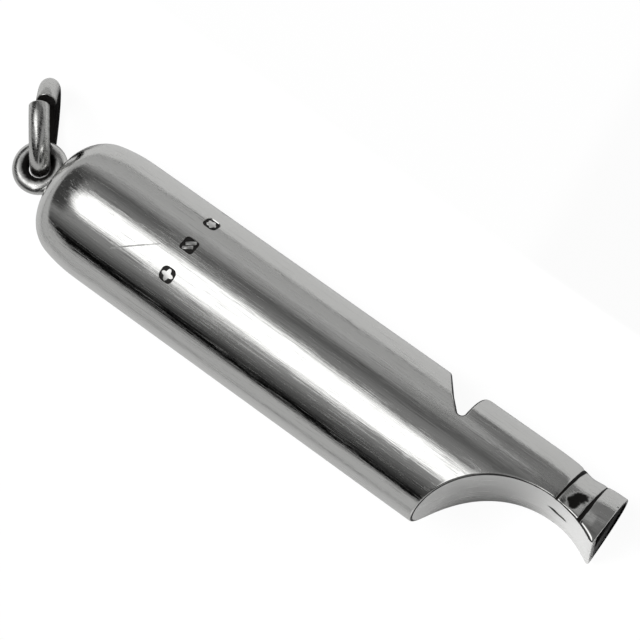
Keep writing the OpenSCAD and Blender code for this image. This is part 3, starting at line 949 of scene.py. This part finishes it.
TABLE_REACH = 1.5
floor_mesh = bpy.data.meshes.new("table")
floor_mesh.from_pydata([(-TABLE_REACH, -TABLE_REACH, 0), (TABLE_REACH, -TABLE_REACH, 0),
                        (TABLE_REACH, TABLE_REACH, 0), (-TABLE_REACH, TABLE_REACH, 0)], [],
                       [(0, 1, 2, 3)])
floor = bpy.data.objects.new("table", floor_mesh)
bpy.context.scene.collection.objects.link(floor)
white_table = bpy.data.materials.new("white card on a grey table, matt")
white_table.use_nodes = True
tree = white_table.node_tree
card = tree.nodes["Principled BSDF"]
card.inputs["Roughness"].default_value = 0.9
floor_place = add(tree, "ShaderNodeSeparateXYZ", {
    0: add(tree, "ShaderNodeTexCoord").outputs["Object"]}).outputs
CARD_END = 0.018  # the card ends here, on the window's side
TABLE_DARK_X = 0.016  # past here, by the mouth, the table is in the tent's own shade
table_tone = blend(
    tree, smooth_step(tree, floor_place["X"], TABLE_DARK_X - 0.002, TABLE_DARK_X + 0.002),
    linear("#9C9C9C"), linear("#6F6F6F"))
# The floor is lighter under the mouth, where the sole's hollow mirrors it.
under_mouth = calc(tree, "MULTIPLY", smooth_step(tree, floor_place["X"], 0.026, 0.033),
                   smooth_step(tree, floor_place["Y"], 0.001, -0.001))
paper = blend(tree, under_mouth, linear("#BCBCBC"), linear("#F0F0F0"))
ground = blend(tree, smooth_step(tree, floor_place["Y"], CARD_END, CARD_END + 0.001),
               paper, table_tone)
# A thin dark line is painted on the card's edge as its painted shadow, which the silver mirrors
# all along the barrel.
gap = calc(tree, "MULTIPLY",
           smooth_step(tree, floor_place["Y"], CARD_END - 0.001, CARD_END - 0.0006),
           smooth_step(tree, floor_place["Y"], CARD_END + 0.0006, CARD_END + 0.0002))
tree.links.new(blend(tree, gap, ground, linear("#484848")), card.inputs["Base Color"])
# The camera sees the floor white, with a little of its own shade left for the whistle's shadow.
FLOOR_WHITE = 0.88
seen = add(tree, "ShaderNodeLightPath").outputs["Is Camera Ray"]
glow = add(tree, "ShaderNodeEmission", {"Color": (1, 1, 1, 1), "Strength": 1.08})
whiteness = calc(tree, "MULTIPLY_ADD", gap, 1 - FLOOR_WHITE, FLOOR_WHITE)
white = add(tree, "ShaderNodeMixShader", {
    0: calc(tree, "MULTIPLY", seen, whiteness), 1: card.outputs[0], 2: glow.outputs[0]})
tree.links.new(white.outputs[0], tree.nodes["Material Output"].inputs["Surface"])
floor_mesh.materials.append(white_table)

# What the tent looks like from the whistle. Directions are laid out flat round the photograph's
# own direction: along towards the mouth and aside towards the window, both in degrees.
world = bpy.data.worlds.new("light tent")
bpy.context.scene.world = world
world.use_nodes = True
tree = world.node_tree
tree.nodes.clear()
way = add(tree, "ShaderNodeTexCoord").outputs["Generated"]
tent_up = -sight
tent_along = (Vector((1, 0, 0)) - tent_up * tent_up.x).normalized()
tent_aside = tent_up.cross(tent_along)


def layer(below, factor, level):
    """Lays a grey level over what is below, where the factor is 1."""
    return add(tree, "ShaderNodeMix", {0: factor, 2: below, 3: level}).outputs[0]


up_part = calc_vector(tree, "DOT_PRODUCT", way, tent_up)
up_part = calc(tree, "MINIMUM", calc(tree, "MAXIMUM", up_part, -0.9999), 0.9999)
angle = calc(tree, "ARCCOSINE", up_part)
scale = calc(tree, "DIVIDE", calc(tree, "MULTIPLY", angle, 180 / math.pi),
             calc(tree, "SINE", angle))
along = calc(tree, "MULTIPLY", calc_vector(tree, "DOT_PRODUCT", way, tent_along), scale)
aside = calc(tree, "MULTIPLY", calc_vector(tree, "DOT_PRODUCT", way, tent_aside), scale)
# The tent's panels, from the sole's side over the top to the window's side: the angle aside at
# which each begins, how much that shifts for a degree along, how soft its edge is, and its level
PANELS = (
    (-90, -0.8, 4, 0.002), (-67, -0.8, 8, 0.06), (-58, 0, 10, 0.12), (-46, 0, 14, 0.24),
    (14, -1.4, 8, 0.2), (30, 0, 14, 0.12), (37, 0, 8, 0.1), (50, 0, 12, 0.3))
TENT_GREY = 0.42
past = calc(tree, "MAXIMUM", calc(tree, "ADD", along, 25.0), -3.0)
level = TENT_GREY
for edge, shift, soft, panel in PANELS:
    here = calc(tree, "MULTIPLY_ADD", past, -shift, aside)
    level = layer(level, smooth_step(tree, here, edge - soft / 2, edge + soft / 2), panel)
# Levels over the panels: towards the mouth the window's side of the tent is dark.
dark = calc(tree, "MULTIPLY", smooth_step(tree, along, -19, -15),
            smooth_step(tree, aside, 28, 36))
level = layer(level, dark, 0.14)
# The dark room shows past the ends of the tent, over the dome and past the mouth.
over_dome = calc(tree, "MULTIPLY", smooth_step(tree, along, -46, -56),
                 smooth_step(tree, calc(tree, "ABSOLUTE", aside), 42, 34))
level = layer(level, over_dome, 0.05)
level = layer(level, smooth_step(tree, along, 2, 8), 0.04)
# Far past the mouth the room is lighter, which only other views show.
level = layer(level, smooth_step(tree, along, 24, 40), 0.3)
# The soft box, with a round end over the dome, lies a little askew and fades at its edges.
BOX_MIDDLE = -9.5
BOX_HALF = 19.0
BOX_END = -36.0
BOX_LEVEL = 1.4
askew = calc(tree, "MULTIPLY_ADD", past, 1.4, calc(tree, "SUBTRACT", aside, BOX_MIDDLE))
# Its edge on the sole's side draws in towards the mouth.
drawn_in = calc(tree, "MINIMUM", calc(tree, "MAXIMUM", past, 0.0), 5.0)
narrower = calc(tree, "MULTIPLY_ADD", calc(tree, "MULTIPLY", drawn_in, drawn_in), 0.026, 1.0)
askew = calc(tree, "MULTIPLY_ADD", calc(tree, "MINIMUM", askew, 0.0), narrower,
             calc(tree, "MAXIMUM", askew, 0.0))
past_end = calc(tree, "MULTIPLY", calc(tree, "MINIMUM", calc(tree, "SUBTRACT", along, BOX_END),
                                       0.0), 1.3)
from_box = calc(tree, "SQRT", calc(tree, "ADD", calc(tree, "MULTIPLY", askew, askew),
                                   calc(tree, "MULTIPLY", past_end, past_end)))
in_box = calc(tree, "MULTIPLY", smooth_step(tree, from_box, BOX_HALF + 6, BOX_HALF - 5),
              smooth_step(tree, along, 4, -4))
level = layer(level, in_box, BOX_LEVEL)
level = layer(level, smooth_step(tree, angle, math.radians(88), math.radians(94)), TENT_GREY)
# Only reflections show the panels: matt surfaces are lit evenly, and the camera sees white.
DIFFUSE_LEVEL = 0.15
rays = add(tree, "ShaderNodeLightPath")
level = layer(DIFFUSE_LEVEL, rays.outputs["Is Glossy Ray"], level)
shown = layer(level, rays.outputs["Is Camera Ray"], 1.0)
tent = add(tree, "ShaderNodeBackground", {"Color": shown, "Strength": 1.0})
add(tree, "ShaderNodeOutputWorld", {"Surface": tent.outputs[0]})

# The soft box as a lamp, for the table. The silver mirrors the tent's picture of it instead.
LAMP_AWAY = 0.5
lamp = bpy.data.objects.new("soft_box", bpy.data.lights.new("soft_box", "AREA"))
bpy.context.scene.collection.objects.link(lamp)
lamp_way = (tent_up - 0.55 * tent_along - 0.1 * tent_aside).normalized()
lamp.location = LAMP_AWAY * lamp_way
lamp.rotation_euler = lamp_way.to_track_quat("Z", "Y").to_euler()
lamp.data.shape = "RECTANGLE"
lamp.data.size, lamp.data.size_y = 0.3, 0.2
lamp.data.energy = 2.7
lamp.visible_glossy = False
